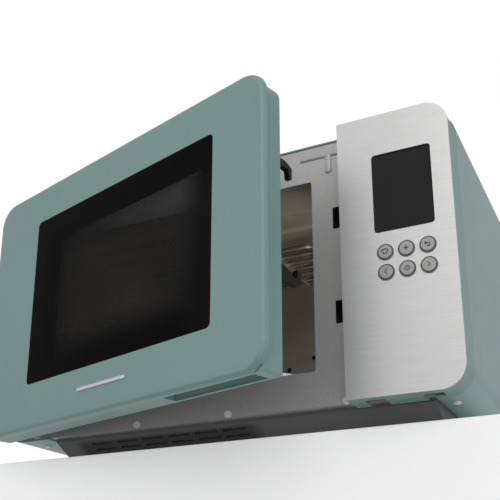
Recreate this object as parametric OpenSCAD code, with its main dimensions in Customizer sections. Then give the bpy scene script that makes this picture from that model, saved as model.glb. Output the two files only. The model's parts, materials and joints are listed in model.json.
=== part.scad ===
// Countertop microwave oven with convection fan, grill and side-hung door.
// +X is the control side, -Y is the front, +Z is up, and z = 0 is the worktop.

/* [Body] */
// Overall width of the painted wrap
body_w = 490; // [440:1:600]
// Height of the door and of the control plate
body_h = 260; // [250:1:320]
// How much taller the wrap is than the door
wrap_over = 2; // [0:0.5:4]
// Depth of the wrap, from the front plate to the rear panel
body_d = 262; // [255:1:360]
// Gap between the worktop and the door and panel
ground_gap = 19; // [16:1:30]
// Height of the wrap's lower edge above the lower edge of the door
wrap_rise = 3; // [1:0.5:4]
// Radius of the long edges of the wrap
edge_r = 22; // [12:1:30]
// Thickness of the wrap sheet
wrap_t = 1.5; // [0.8:0.1:3]
// Thickness of the inner steel sheets
sheet_t = 1.2; // [0.8:0.1:2]
// How far the panel stands in front of the front plate
panel_proud = 32; // [26:0.5:40]

/* [Door] */
// Opening angle that the door stands at
door_angle = 16.6; // [0:0.1:90]
// Gap between the door and the control plate
door_gap = 2; // [1.5:0.5:4]
// Thickness of the door glass
glass_t = 6; // [4:0.5:7]
// Depth of the painted door frame, from the front of the glass
frame_d = 28; // [24:0.5:30]
// Corner radius of the door glass
glass_r = 24; // [10:1:30]
// Distance from the door's left edge to the window
window_x = 75; // [60:1:90]
// Width of the clear window
window_w = 255; // [180:1:290]
// Height of the clear window
window_h = 174; // [120:1:190]
// Distance from the door's left edge to the hinge axis
hinge_inset = 9; // [8:0.5:14]
// Distance from the front of the glass to the hinge axis
hinge_depth = 12.6; // [10:0.2:16]
// Diameter of the hinge pins
hinge_pin_d = 4; // [3:0.5:5]
// Height of the finger recess under the free edge
grip_h = 20; // [10:1:26]
// Width of the finger recess
grip_w = 104; // [70:1:120]

/* [Controls] */
// Width of the control plate
panel_w = 101; // [95:1:130]
// Width of the display
display_w = 52.5; // [40:0.5:70]
// Height of the display
display_h = 75; // [50:1:95]
// Height of the display's lower edge above the panel's lower edge
display_z = 144.5; // [130:0.5:160]
// Diameter of the button caps
button_d = 12; // [9:0.1:15]
// Width of the ring around a button
ring_w = 1.3; // [0.8:0.1:1.5]
// Distance between button centres
button_pitch = 18.4; // [16:0.1:22]
// Height of the upper row of buttons above the panel's lower edge
button_z = 125.2; // [110:0.1:130]
// Travel of a button
button_travel = 1; // [0.5:0.1:1.5]

/* [Cavity] */
// Width of the cavity
cavity_w = 304; // [280:1:320]
// Distance from the cavity to the control plate
cavity_margin = 34.5; // [30:0.5:50]
// Height of the cavity
cavity_h = 197; // [160:1:205]
// Diameter of the glass turntable
turntable_d = 244; // [200:1:246]
// Height of the cavity floor above the wrap's lower edge
cavity_z = 32; // [30:1:36]

/* [Fan] */
// Diameter of the cooling fan blade
fan_d = 84; // [60:1:90]
// Diameter of the convection fan blade
oven_fan_d = 112; // [90:1:120]
// Height of the convection fan's axis above the cavity floor
oven_fan_z = 57; // [50:1:100]
// How far the rear cover stands behind the rear panel
rear_bulge = 74; // [58:1:90]

/* [Hidden] */
$fn = 64;

eps = 0.01;
fit = 0.3;                          // gap between parts that only sit near each other
wrap_h = body_h + wrap_over;
door_w = body_w - panel_w - door_gap;
ring_d = button_d + 2 * ring_w;
z0 = ground_gap;                    // lower edge of the door and panel
z1 = z0 + body_h;                   // upper edge of the door and panel
wz0 = z0 + wrap_rise;               // lower edge of the wrap
wz1 = wz0 + wrap_h;                 // upper edge of the wrap
xl = -body_w / 2;
xr = body_w / 2;
y_plate = -body_d / 2;              // front face of the front plate
y_back = body_d / 2;                // rear face of the rear panel
y_panel = y_plate - panel_proud;    // front face of the control plate
x_panel = xr - panel_w;             // left edge of the control plate
door_proud = 5;                     // front of the glass ahead of the control plate
y_door = y_panel - door_proud;      // front face of the closed door
y_door_back = y_plate - 2;          // rear of the closed door frame
door_side = 6.5;                    // frame is this much narrower than the glass each side
door_end = 1.5;                     // and this much shorter at top and bottom
rim = 1;                            // wrap stands this much ahead of the front plate
deck_z = wz0 + wrap_t;               // underside of the base plate
deck_top = deck_z + sheet_t;
inner_x = xr - wrap_t - fit;        // half width inside the wrap

cav_x = x_panel - cavity_margin - cavity_w / 2;  // cavity centre, placed from the control plate
cav_l = cav_x - cavity_w / 2;
cav_r = cav_x + cavity_w / 2;
cav_z0 = wz0 + cavity_z - 1;
cav_z1 = cav_z0 + cavity_h;
cav_y0 = y_plate + sheet_t;         // front of the cavity liner
cav_y1 = y_back - sheet_t - 4.3;    // inner face of the cavity's rear wall
mouth_lip = 4;                      // front opening is smaller than the cavity by this lip
turn_y = (cav_y0 + cav_y1) / 2;

bay_l = cav_r + sheet_t + 1;        // electrics bay, right of the cavity
slot_x = x_panel - 18;              // latch slots
slot_w = 10;
slot_h = 22;
slot_low = z0 + 80;
slot_high = z0 + 173;
hook_t = 5;
hook_x = slot_x + (slot_w - hook_t) / 2;
upper_reach = 8;                    // how far each hook passes the front plate when closed
lower_reach = 18;
door_rear = y_door + frame_d;       // rear of the painted door frame
hook_pivot_y = door_rear - 8;

hinge_x = xl + hinge_inset;
hinge_y = y_door + hinge_depth;
arm_t = 2;                          // thickness of the hinge arms
arm_r = 4;                          // radius of the round end of an arm
arm_in = 30;                        // distance of an arm from the end of the door
arm_gap = 1;                        // gap above and below an arm

button_x0 = x_panel + 40.2;
ring_t = 0.8;
cap_proud = 1.8;
display_x = x_panel + 31.6;
housing_t = 2;

wg_y0 = turn_y + 20;                // waveguide on the cavity's right wall
wg_len = 90;
wg_z0 = cav_z1 - 74;
wg_h = 60;
wg_d = 20;
mag_w = 72;
mag_y = wg_y0 + 42;                 // axis of the magnetron
mag_z = wg_z0 + 30;
fan_x = (bay_l + inner_x) / 2 + 4;
fan_z = deck_top + 52;

lamp_y = turn_y - 66;               // oven lamp behind the perforated right wall
lamp_z = cav_z1 - 43;

gland_x = xr - 26;                  // mains inlet gland, above the fan
gland_z = fan_z + 70;

conv_z = cav_z0 + oven_fan_z;
conv_r = oven_fan_d / 2 + 18;
conv_y0 = cav_y1 + sheet_t;
conv_d = 26;

module rounded_rect(w, h, r) {
  translate([r, 0]) square([w - 2 * r, h]);
  translate([0, r]) square([w, h - 2 * r]);
  for (x = [r, w - r], y = [r, h - r]) translate([x, y]) circle(r);
}

// Stands a drawing in X and Z up, with its front at y and its thickness t behind it.
module upright(y, t) {
  translate([0, y + t, 0]) rotate([90, 0, 0]) linear_extrude(t) children();
}

module rod(r, len) { rotate([-90, 0, 0]) cylinder(r = r, h = len); }

module block(x0, x1, ya, yb, za, zb) { translate([x0, ya, za]) cube([x1 - x0, yb - ya, zb - za]); }

// Turns the door's pieces from closed to the angle that the door stands at.
module hung() {
  translate([hinge_x, hinge_y, 0]) rotate([0, 0, -door_angle])
    translate([-hinge_x, -hinge_y, 0]) children();
}

module wrap_outline(inset) {
  translate([xl + inset, wz0 + inset])
    rounded_rect(body_w - 2 * inset, wrap_h - 2 * inset, edge_r - inset);
}

tray_l = xl + 58;
tray_r = xr - 36;
tray_gap = 2;

module outer_wrap() {
  color([0.50, 0.60, 0.59]) upright(y_plate - rim, body_d + rim) difference() {
    wrap_outline(0);
    wrap_outline(wrap_t);
    translate([tray_l - tray_gap, wz0 - 1])
      square([tray_r - tray_l + 2 * tray_gap, wrap_t + 2]);
  }
}

rib_z = z0 + body_h - 4;
rib_x = x_panel - 50;
rib_w = 6;
rib_leg = 16;                       // length of the rib's leg below its bar
rib_deep = 0.8;

screw_x = [xl + 40, cav_x - 40, cav_x + 60, x_panel - 10];
screw_z = wz0 + 5;
screw_r = 1.7;

module front_plate() {
  color([0.62, 0.62, 0.61]) {
    upright(y_plate, sheet_t) difference() {
      wrap_outline(wrap_t + fit);
      translate([cav_l + mouth_lip, cav_z0 + mouth_lip])
        rounded_rect(cavity_w - 2 * mouth_lip, cavity_h - 2 * mouth_lip, 3);
      for (z = [slot_low, slot_high]) translate([slot_x, z]) square([slot_w, slot_h]);
      translate([x_panel + 20, z0 + 30]) square([panel_w - 40, 60]);
      for (x = screw_x) translate([x, screw_z]) circle(screw_r + 0.1);
    }
    block(rib_x, x_panel + 12, y_plate - rib_deep, y_plate, rib_z - rib_w, rib_z);
    block(x_panel - 24, x_panel - 24 + rib_w, y_plate - rib_deep, y_plate,
          rib_z - rib_w - rib_leg, rib_z - rib_w + eps);
  }
}

module base_plate() {
  vent_w = 4;
  color([0.60, 0.61, 0.62]) difference() {
    block(xl + edge_r, xr - edge_r, y_plate + sheet_t + fit,
          y_back - sheet_t - fit, deck_z, deck_top);
    translate([cav_x, turn_y, deck_z - 1]) cylinder(r = 6, h = sheet_t + 2);
    for (i = [0 : 7])
      block(bay_l + 20 + i * 10, bay_l + 20 + vent_w + i * 10, y_plate + 40, y_plate + 90,
            deck_z - 1, deck_top + 1);
  }
}

tray_z = 7.5;

module base_tray() {
  tray_t = 2;
  slope = 24;
  front = y_plate + 10;
  back = y_back - 20;
  color([0.20, 0.21, 0.22]) difference() {
    translate([tray_l, 0, 0]) rotate([90, 0, 90]) linear_extrude(tray_r - tray_l) polygon([
      [front, deck_z], [front, deck_z - 3], [front + slope, tray_z], [back, tray_z], [back, deck_z]
    ]);
    translate([tray_l + tray_t, 0, 0]) rotate([90, 0, 90])
      linear_extrude(tray_r - tray_l - 2 * tray_t) polygon([
        [front + tray_t, deck_z + 1], [front + tray_t, deck_z - 2],
        [front + slope + tray_t, tray_z + tray_t], [back - tray_t, tray_z + tray_t],
        [back - tray_t, deck_z + 1]
      ]);
    for (i = [0 : 5], k = [0, 1])
      block(tray_l + 40 + i * 30, tray_l + 64 + i * 30, front + 6 + k * 8, front + 9 + k * 8,
            0, deck_z - 1);
    for (i = [0 : 11])
      block(tray_l + 60 + i * 24, tray_l + 64 + i * 24, turn_y + 30, turn_y + 80, 0, tray_z + tray_t + 1);
  }
}

module rubber_feet() {
  color([0.12, 0.12, 0.12])
    for (x = [tray_l + 22, tray_r - 22], y = [y_plate + 56, y_back - 44]) translate([x, y, 0])
      cylinder(r1 = 9, r2 = 11, h = tray_z);
}

cover_w = 210;
cover_h = 170;
cover_l = cav_x - cover_w / 2;
cover_z = conv_z - cover_h / 2;

module rear_panel() {
  color([0.66, 0.67, 0.68]) upright(y_back - sheet_t, sheet_t) difference() {
    wrap_outline(wrap_t + fit);
    translate([cav_x, conv_z]) circle(conv_r + 6);
    for (i = [-4 : 4], k = [0 : 2])
      translate([fan_x - 2 + i * 10, fan_z - 30 + k * 22]) square([5, 16]);
    translate([gland_x, gland_z]) circle(6.5);
  }
}

module rear_cover() {
  wall = 1.2;
  color([0.64, 0.65, 0.66]) difference() {
    upright(y_back, rear_bulge) translate([cover_l, cover_z]) rounded_rect(cover_w, cover_h, 14);
    upright(y_back - 1, rear_bulge + 1 - wall) translate([cover_l + wall, cover_z + wall])
      rounded_rect(cover_w - 2 * wall, cover_h - 2 * wall, 13);
    for (i = [0 : 11])
      block(cover_l + 30 + i * 13, cover_l + 36 + i * 13, y_back + 30, y_back + rear_bulge + 1,
            cover_z + cover_h - 22, cover_z + cover_h - 10);
  }
}

rail_z = [36, 80];
ceiling_rib = 3;
rail_out = 7;
rail_h = 9;
vent_hole_r = 3;
vent_ring_r = oven_fan_d / 2 + 7;   // ring of outlet holes round the convection fan

module cavity_liner() {
  t = sheet_t;
  color([0.55, 0.52, 0.49]) {
    difference() {
      block(cav_l - t, cav_r + t, cav_y0, cav_y1 + t, cav_z0 - t, cav_z1 + t);
      block(cav_l, cav_r, cav_y0 - 1, cav_y1, cav_z0, cav_z1);
      translate([cav_x, turn_y, cav_z0 - t - 1]) cylinder(r = 6, h = t + 2);
      for (i = [-3 : 3], k = [-3 : 3]) if (i * i + k * k <= 10)
        translate([cav_x + i * 11, cav_y1 - 1, conv_z + k * 11]) rod(vent_hole_r, t + 2);
      for (side = [0, 180], a = [side - 45 : 30 : side + 45])
        translate([cav_x + vent_ring_r * cos(a), cav_y1 - 1, conv_z + vent_ring_r * sin(a)])
          rod(vent_hole_r, t + 2);
      block(cav_r - 1, cav_r + t + 1, wg_y0 + 8, wg_y0 + wg_len - 8, wg_z0 + 6, wg_z0 + wg_h - 6);
      for (i = [0 : 4], k = [0 : 3]) translate([cav_r - 1, lamp_y - 16 + i * 8, lamp_z - 12 + k * 8])
        rotate([0, 90, 0]) cylinder(r = 2.2, h = t + 2, $fn = 24);
    }
    for (y = [turn_y - 68, turn_y - 33])
      block(cav_l + 12, cav_r - 12, y, y + 4, cav_z1 - ceiling_rib, cav_z1 + eps);
    for (z = rail_z) {
      rail(cav_l, 1, cav_z0 + z);
      rail(cav_r, -1, cav_z0 + z);
    }
  }
}

// Shelf rail pressed out of a side wall, with sloping upper and lower faces.
module rail(x, side, z) {
  translate([x, cav_y0 + 14, z]) mirror([side > 0 ? 0 : 1, 0, 0]) rotate([-90, 0, 0]) mirror([0, 1, 0])
    linear_extrude(cav_y1 - cav_y0 - 40)
      polygon([[-0.6, 0], [rail_out, 2.5], [rail_out, rail_h - 2.5], [-0.6, rail_h]]);
}

motor_h = 18;
shaft_r = 3;

module turntable_motor() {
  top = cav_z0 - sheet_t - 2;
  color([0.70, 0.70, 0.68]) translate([cav_x, turn_y, 0]) {
    translate([0, 0, top - motor_h]) cylinder(r = 25, h = motor_h);
    translate([0, 0, top - eps]) cylinder(r = shaft_r, h = 8);
    translate([-34, -7, top - 2]) cube([68, 14, 1.5]);
    for (x = [-30, 30]) translate([x, 0, top - 1]) cylinder(r = 3, h = 3);
  }
}

hub_z = cav_z0 + 4;
glass_z = cav_z0 + 13.6;
turn_t = 5;

module turntable_coupler() {
  color([0.85, 0.83, 0.78]) translate([cav_x, turn_y, hub_z]) difference() {
    union() {
      linear_extrude(9) {
        circle(8);
        for (a = [0, 120, 240]) rotate(a) translate([5, -4]) square([17, 8]);
      }
      for (a = [0, 120, 240]) rotate([0, 0, a]) translate([15, -3.5, 5]) cube([6, 7, 5.8]);
    }
    translate([0, 0, -1]) cylinder(r = shaft_r + 0.1, h = 5);
  }
}

roller_r = turntable_d / 2 - 30;

module roller_ring() {
  wheel_r = 6.5;
  color([0.20, 0.20, 0.20]) translate([cav_x, turn_y, cav_z0]) {
    translate([0, 0, wheel_r - 1.5]) difference() {
      cylinder(r = roller_r - 4, h = 3);
      translate([0, 0, -1]) cylinder(r = roller_r - 12, h = 5);
    }
    translate([0, 0, wheel_r - 1.5]) for (a = [0, 120, 240]) rotate([0, 0, a])
      translate([26, -5, 0]) cube([roller_r - 32, 10, 3]);
    translate([0, 0, wheel_r - 1.5]) difference() {
      cylinder(r = 32, h = 3);
      translate([0, 0, -1]) cylinder(r = 25, h = 5);
    }
    for (a = [60, 180, 300]) rotate([0, 0, a]) {
      translate([roller_r - 6, 0, wheel_r]) rotate([0, 90, 0]) cylinder(r = 1.4, h = 12);
      translate([roller_r, 0, wheel_r + 0.3]) rotate([0, 90, 0]) cylinder(r = wheel_r, h = 6);
    }
  }
}

module turntable_glass() {
  color([0.75, 0.80, 0.80]) translate([cav_x, turn_y, glass_z]) difference() {
    rotate_extrude() polygon([
      [0, 0], [turntable_d / 2 - 16, 0], [turntable_d / 2, 6], [turntable_d / 2, 9],
      [turntable_d / 2 - 4, 9], [turntable_d / 2 - 17, turn_t], [0, turn_t]
    ]);
    for (a = [0, 120, 240]) rotate([0, 0, a]) translate([14, -4.5, -1]) cube([9, 9, 3]);
  }
}

module waveguide() {
  t = 1;
  color([0.68, 0.69, 0.70]) difference() {
    block(cav_r + sheet_t, cav_r + sheet_t + wg_d, wg_y0, wg_y0 + wg_len, wg_z0, wg_z0 + wg_h);
    block(cav_r + sheet_t - 1, cav_r + sheet_t + wg_d - t, wg_y0 + t, wg_y0 + wg_len - t,
          wg_z0 + t, wg_z0 + wg_h - t);
    translate([cav_r + sheet_t, mag_y, mag_z]) rotate([0, 90, 0]) cylinder(r = 10, h = wg_d + 1);
  }
}

module waveguide_cover() {
  color([0.80, 0.77, 0.70])
    block(cav_r - 0.6, cav_r - 0.1, wg_y0 + 2, wg_y0 + wg_len - 2, wg_z0 + 1, wg_z0 + wg_h - 1);
}

mag_body_x = cav_r + sheet_t + wg_d;
mag_half = 32;

module magnetron_frame() {
  t = 1.5;
  color([0.66, 0.66, 0.68]) difference() {
    block(mag_body_x, mag_body_x + mag_w, mag_y - mag_half, mag_y + mag_half,
          mag_z - 36, mag_z + 36);
    block(mag_body_x + t, mag_body_x + mag_w - t, mag_y - mag_half - 1, mag_y + mag_half + 1,
          mag_z - 36 + t, mag_z + 36 - t);
    translate([mag_body_x - 1, mag_y, mag_z]) rotate([0, 90, 0]) cylinder(r = 16, h = t + 2);
    translate([mag_body_x + mag_w - t - 1, mag_y, mag_z]) rotate([0, 90, 0])
      cylinder(r = 16, h = t + 2);
  }
}

module magnetron_fins() {
  color([0.78, 0.79, 0.80]) for (i = [0 : 5]) difference() {
    block(mag_body_x + 17 + i * 7, mag_body_x + 18 + i * 7, mag_y - mag_half + 4,
          mag_y + mag_half - 4, mag_z - 36 + 1.5, mag_z + 36 - 1.5);
    translate([mag_body_x + 10 + i * 7, mag_y, mag_z]) rotate([0, 90, 0])
      cylinder(r = 14, h = 12);
  }
}

module magnetron_core() {
  color([0.72, 0.60, 0.48]) translate([0, mag_y, mag_z]) rotate([0, 90, 0]) {
    translate([0, 0, mag_body_x + 12]) cylinder(r = 14, h = 46);
    translate([0, 0, mag_body_x - 4]) cylinder(r = 8, h = 17);
    translate([0, 0, mag_body_x + 57]) cylinder(r = 10, h = mag_w - 52);
  }
}

tr_x = bay_l + 28;
tr_y = turn_y - 4;
tr_w = 84;
tr_l = 70;
tr_h = 62;

module transformer_core() {
  z = deck_top;
  color([0.36, 0.36, 0.38]) {
    difference() {
      block(tr_x, tr_x + tr_w, tr_y, tr_y + tr_l, z + 3, z + tr_h);
      for (x = [14, 52])
        block(tr_x + x, tr_x + x + 18, tr_y - 1, tr_y + tr_l + 1, z + 16, z + tr_h - 13);
    }
    block(tr_x - 5, tr_x + tr_w, tr_y + 6, tr_y + tr_l - 6, z, z + 3 + eps);
  }
}

module transformer_coils() {
  z = deck_top;
  color([0.72, 0.42, 0.22]) difference() {
    block(tr_x + 14.5, tr_x + tr_w - 14.5, tr_y - 10, tr_y + tr_l + 8, z + 16.5, z + tr_h - 13.5);
    block(tr_x + 31.6, tr_x + 52.4, tr_y - 0.5, tr_y + tr_l + 0.5, z + 15, z + tr_h - 12);
  }
}

cap_x = bay_l + 6;
cap_y = turn_y - 55;

module capacitor() {
  color([0.74, 0.75, 0.76]) translate([cap_x, cap_y, deck_top + 2]) {
    linear_extrude(78) {
      translate([15, 15]) circle(15);
      translate([15, 35]) circle(15);
      translate([0, 15]) square([30, 20]);
    }
    for (y = [17, 33]) translate([12, y, 77]) cube([6, 1.5, 11]);
  }
}

module capacitor_strap() {
  color([0.60, 0.61, 0.62]) translate([cap_x, cap_y, deck_top]) {
    difference() {
      translate([-2, 8, 22]) cube([34, 34, 14]);
      translate([0, 7, 21]) cube([30, 36, 16]);
    }
    translate([30.5, 8, 0]) cube([1.5, 34, 23]);
    translate([30.5, 8, 0]) cube([14, 34, 1.5]);
  }
}

module diode() {
  color([0.10, 0.10, 0.10]) translate([cap_x + 50, cap_y + 6, deck_top + 12]) rod(4, 24);
  color([0.70, 0.70, 0.70]) translate([cap_x + 50, cap_y - 6, deck_top + 12]) rod(1, 13);
  color([0.70, 0.70, 0.70]) translate([cap_x + 48, cap_y - 8, deck_top]) cube([4, 2.5, 14]);
}

shroud_y = y_back - sheet_t - 26;

shroud_r = fan_d / 2 + 8;

module fan_shroud() {
  color([0.85, 0.85, 0.83]) {
    difference() {
      block(fan_x - shroud_r, fan_x + shroud_r, shroud_y, shroud_y + 25,
            fan_z - shroud_r, fan_z + shroud_r);
      translate([fan_x, shroud_y - 1, fan_z]) rod(fan_d / 2 + 3, 27);
    }
    for (a = [45, 135]) translate([fan_x, 0, fan_z]) rotate([0, a, 0])
      translate([-fan_d / 2 - 4, shroud_y, -3]) difference() {
        cube([fan_d + 8, 2, 6]);
        translate([fan_d / 2 - 9, -1, -1]) cube([26, 4, 8]);
      }
    difference() {
      translate([fan_x, shroud_y, fan_z]) rod(17, 2);
      translate([fan_x, shroud_y - 1, fan_z]) rod(shaft_r + 0.5, 4);
    }
  }
}

module fan_motor() {
  color([0.30, 0.30, 0.32]) {
    translate([fan_x, shroud_y - 22, fan_z]) rod(16, 21.7);
    translate([fan_x, shroud_y - 1, fan_z]) rod(shaft_r, 19);
  }
}

module fan_blade() {
  color([0.90, 0.90, 0.88]) translate([fan_x, shroud_y + 6, fan_z]) {
    difference() {
      rod(11, 14);
      translate([0, -1, 0]) rod(shaft_r + 0.1, 16);
    }
    for (a = [0 : 72 : 359]) rotate([0, a, 0]) translate([10, 6, 0]) rotate([28, 0, 0])
      translate([0, -1, -13]) cube([fan_d / 2 - 13, 2, 26]);
  }
}

module oven_lamp() {
  x = cav_r + sheet_t + 0.6;
  y = lamp_y;
  z = lamp_z;
  color([0.95, 0.90, 0.75]) {
    translate([x + 2, y, z]) rotate([0, 90, 0]) cylinder(r = 10, h = 26);
    translate([x + 28 - eps, y, z]) rotate([0, 90, 0]) cylinder(r = 8, h = 12);
    translate([x, y - 14, z - 14]) cube([2.01, 28, 28]);
  }
}

module thermal_cutouts() {
  color([0.82, 0.80, 0.75]) {
    translate([cav_x + 30, turn_y + 30, cav_z1 + sheet_t]) cylinder(r = 8, h = 9);
    translate([cav_x - 60, turn_y - 40, cav_z1 + sheet_t]) cylinder(r = 8, h = 9);
    translate([cav_r + sheet_t, wg_y0 - 18, wg_z0 - 20]) rotate([0, 90, 0]) cylinder(r = 8, h = 9);
  }
}

grill_z = cav_z1 - 16;

grill_y = turn_y - 18;              // first run of the grill element

module grill_element() {
  r = 3.2;
  bend = 18;
  runs = 3;
  len = 190;
  color([0.28, 0.27, 0.26]) translate([cav_x - len / 2, grill_y, grill_z]) {
    for (i = [0 : 2 * runs - 1]) translate([0, i * bend, 0]) rotate([0, 90, 0]) cylinder(r = r, h = len);
    for (i = [0 : 2 * runs - 2]) translate([i % 2 == 0 ? len : 0, i * bend + bend / 2, 0])
      rotate([0, 0, i % 2 == 0 ? -90 : 90]) rotate_extrude(angle = 180)
        translate([bend / 2, 0]) circle(r, $fn = 24);
  }
}

module grill_brackets() {
  color([0.62, 0.62, 0.60]) for (x = [-60, 60]) {
    difference() {
      translate([cav_x + x - 1, grill_y - 6, grill_z - 6]) cube([2, 102, cav_z1 - grill_z + 6]);
      for (i = [0 : 5]) translate([cav_x + x - 2, grill_y + i * 18, grill_z])
        rotate([0, 90, 0]) cylinder(r = 3.3, h = 4);
    }
  }
}

heater_r = 3.2;
heater_ring = oven_fan_d / 2 + 8;
lead_a = [104, 76];
lead_r = 2.6;

module convection_chamber() {
  t = 1;
  color([0.60, 0.60, 0.61]) translate([cav_x, conv_y0, conv_z]) difference() {
    rod(conv_r, conv_d);
    translate([0, -1, 0]) rod(conv_r - t, conv_d + 1 - t);
    rod(5, conv_d + 2);
    for (a = lead_a) translate([heater_ring * cos(a), 0, -heater_ring * sin(a)])
      rod(lead_r + fit, conv_d + 2);
  }
}

module convection_element() {
  color([0.27, 0.26, 0.25]) translate([cav_x, conv_y0 + 13, conv_z]) rotate([-90, 0, 0])
    rotate([0, 0, 100]) rotate_extrude(angle = 340) translate([heater_ring, 0])
      circle(heater_r, $fn = 24);
  color([0.27, 0.26, 0.25]) for (a = lead_a) translate([
    cav_x + heater_ring * cos(a), conv_y0 + 13, conv_z - heater_ring * sin(a)
  ]) rod(lead_r, conv_d + 8);
}

module convection_motor() {
  color([0.32, 0.32, 0.34]) translate([cav_x, conv_y0 + conv_d, conv_z]) {
    translate([0, 6, 0]) rod(24, 22);
    translate([0, -18, 0]) rod(shaft_r, 26);
    for (a = [0, 180]) rotate([0, a, 0]) translate([28, 0, -4]) cube([4, 14, 8]);
    for (a = [0, 180]) rotate([0, a, 0]) translate([22, 12, -4]) cube([10, 2, 8]);
  }
}

module convection_blade() {
  color([0.70, 0.70, 0.71]) translate([cav_x, conv_y0 + 6, conv_z]) {
    difference() {
      rod(8, 14);
      translate([0, -1, 0]) rod(shaft_r + 0.1, 16);
    }
    translate([0, 12, 0]) difference() {
      rod(oven_fan_d / 2, 1);
      translate([0, -1, 0]) rod(7, 3);
    }
    for (a = [0 : 45 : 359]) rotate([0, a, 0]) translate([14, 2, -0.6])
      cube([oven_fan_d / 2 - 16, 10.5, 1.2]);
  }
}

module filter_board() {
  color([0.20, 0.42, 0.26]) block(inner_x - 12, inner_x - 10, y_back - 70, y_back - 12, z0 + 155, z0 + 205);
  color([0.10, 0.10, 0.10]) block(inner_x - 26, inner_x - 12 + eps, y_back - 60, y_back - 40, z0 + 165, z0 + 190);
}

module cord_gland() {
  color([0.10, 0.10, 0.10]) translate([gland_x, 0, gland_z]) difference() {
    union() {
      translate([0, y_back - sheet_t - 4, 0]) rod(6.4, 10);
      translate([0, y_back, 0]) rod(10, 4);
      translate([0, y_back - sheet_t - 6, 0]) rod(10, 6);
    }
    translate([0, y_back - sheet_t - 8, 0]) rod(4, 16);
  }
}

module interlock_bracket() {
  color([0.14, 0.14, 0.15]) difference() {
    block(slot_x - 6, slot_x + slot_w + 6, y_plate + sheet_t, y_plate + 44, slot_low - 10,
          slot_high + slot_h + 10);
    block(slot_x - 3, slot_x + slot_w + 3, y_plate, y_plate + 41, slot_low - 6,
          slot_high + slot_h + 6);
    block(slot_x - 8, slot_x, y_plate + 20, y_plate + 42, slot_low + 34, slot_high - 6);
  }
}

module interlock_switches() {
  color([0.10, 0.10, 0.11])
    for (z = [slot_low - 4, (slot_low + slot_high) / 2, slot_high + 6])
      block(slot_x + slot_w + 6, slot_x + slot_w + 17, y_plate + 18, y_plate + 46, z, z + 16);
}

module panel_outline(inset) {
  w = panel_w - 2 * inset;
  h = body_h - 2 * inset;
  r = edge_r - inset;
  translate([x_panel + inset, z0 + inset]) {
    square([w - r, h]);
    translate([0, r]) square([w, h - 2 * r]);
    for (z = [r, h - r]) translate([w - r, z]) circle(r);
  }
}

plate_t = 1.2;
notch_w = 17;                       // notches in the rear edge of the housing's underside
display_deep = 1.6;                 // display glass behind the front of the plate

module control_housing() {
  depth = panel_proud - plate_t - rim - fit;
  color([0.50, 0.60, 0.59]) difference() {
    upright(y_panel + plate_t, depth) panel_outline(0);
    upright(y_panel + plate_t + 3, depth) panel_outline(housing_t);
    upright(y_panel + plate_t - 1, 6) display_outline(1.5);
    for (k = [0 : 5]) translate([button_cx(k), y_panel + plate_t - 1, button_cz(k)])
      rod(button_d / 2 + 0.5, 6);
    for (x = [13, panel_w - 39])
      block(x_panel + x, x_panel + x + notch_w, y_panel + plate_t + 9, y_plate, z0 - 1,
            z0 + housing_t + 1);
  }
}

function button_cx(k) = button_x0 + (k % 3) * button_pitch;
function button_cz(k) = z0 + button_z - floor(k / 3) * button_pitch;

module display_outline(extra) {
  translate([display_x - extra, z0 + display_z - extra])
    rounded_rect(display_w + 2 * extra, display_h + 2 * extra, 3 + extra);
}

module control_plate() {
  color([0.72, 0.72, 0.71]) difference() {
    upright(y_panel, plate_t) panel_outline(0);
    upright(y_panel - 1, plate_t + 2) display_outline(0.2);
    for (k = [0 : 5]) translate([button_cx(k), y_panel - 1, button_cz(k)]) rod(button_d / 2 + 0.9, 4);
  }
}

module display_window() {
  color([0.05, 0.05, 0.06]) upright(y_panel + display_deep, 3) display_outline(0);
}

board_y = y_panel + plate_t + 7;

module control_board() {
  color([0.16, 0.38, 0.24]) {
    block(x_panel + 10, xr - 12, board_y, board_y + 1.6, z0 + 95, z0 + body_h - 20);
  }
  color([0.10, 0.10, 0.12])
    block(display_x + 3, display_x + display_w - 3, y_panel + display_deep + 3, board_y + eps,
          z0 + display_z + 3, z0 + display_z + display_h - 3);
  color([0.80, 0.80, 0.78]) for (k = [0 : 5])
    translate([button_cx(k), board_y - 2.2, button_cz(k)]) rod(2, 2.2 + eps);
}

module button_rings() {
  color([0.30, 0.31, 0.31]) for (k = [0 : 5]) translate([button_cx(k), 0, button_cz(k)])
    difference() {
      translate([0, y_panel - ring_t, 0]) union() {
        rod(ring_d / 2, ring_t);
        rod(button_d / 2 + 0.8, ring_t + plate_t);
      }
      translate([0, y_panel - ring_t - 1, 0]) rod(button_d / 2 + 0.15, 5);
    }
}

module cap(k) {
  color([0.66, 0.66, 0.65]) translate([button_cx(k), 0, button_cz(k)]) {
    translate([0, y_panel - cap_proud, 0]) rod(button_d / 2, 4.6);
    translate([0, y_panel, 0]) rod(2.2, board_y - 2.2 - button_travel - fit - y_panel);
  }
}

module button_menu() { cap(0); }
module button_plus() { cap(1); }
module button_back() { cap(2); }
module button_down() { cap(3); }
module button_power() { cap(4); }
module button_up() { cap(5); }

// A flat steel arm from the front plate, with a pin that turns in the door's bush.
module hinge_arm(z, dir) {
  pin = 6;
  translate([hinge_x, hinge_y, z]) {
    cylinder(r = arm_r, h = arm_t);
    translate([-arm_r, 0, 0]) cube([2 * arm_r, y_plate - hinge_y, arm_t]);
    translate([0, 0, dir > 0 ? arm_t - eps : -pin + eps]) cylinder(r = hinge_pin_d / 2, h = pin);
  }
  block(hinge_x - arm_r, hinge_x + 8, y_plate - 0.8, y_plate, z - 6, z + arm_t + 6);
}

arm_low = z0 + door_end + arm_in;
arm_high = z1 - door_end - arm_in - arm_t;

module hinge_brackets() {
  color([0.55, 0.56, 0.57]) {
    hinge_arm(arm_low, -1);
    hinge_arm(arm_high, 1);
  }
}

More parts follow.
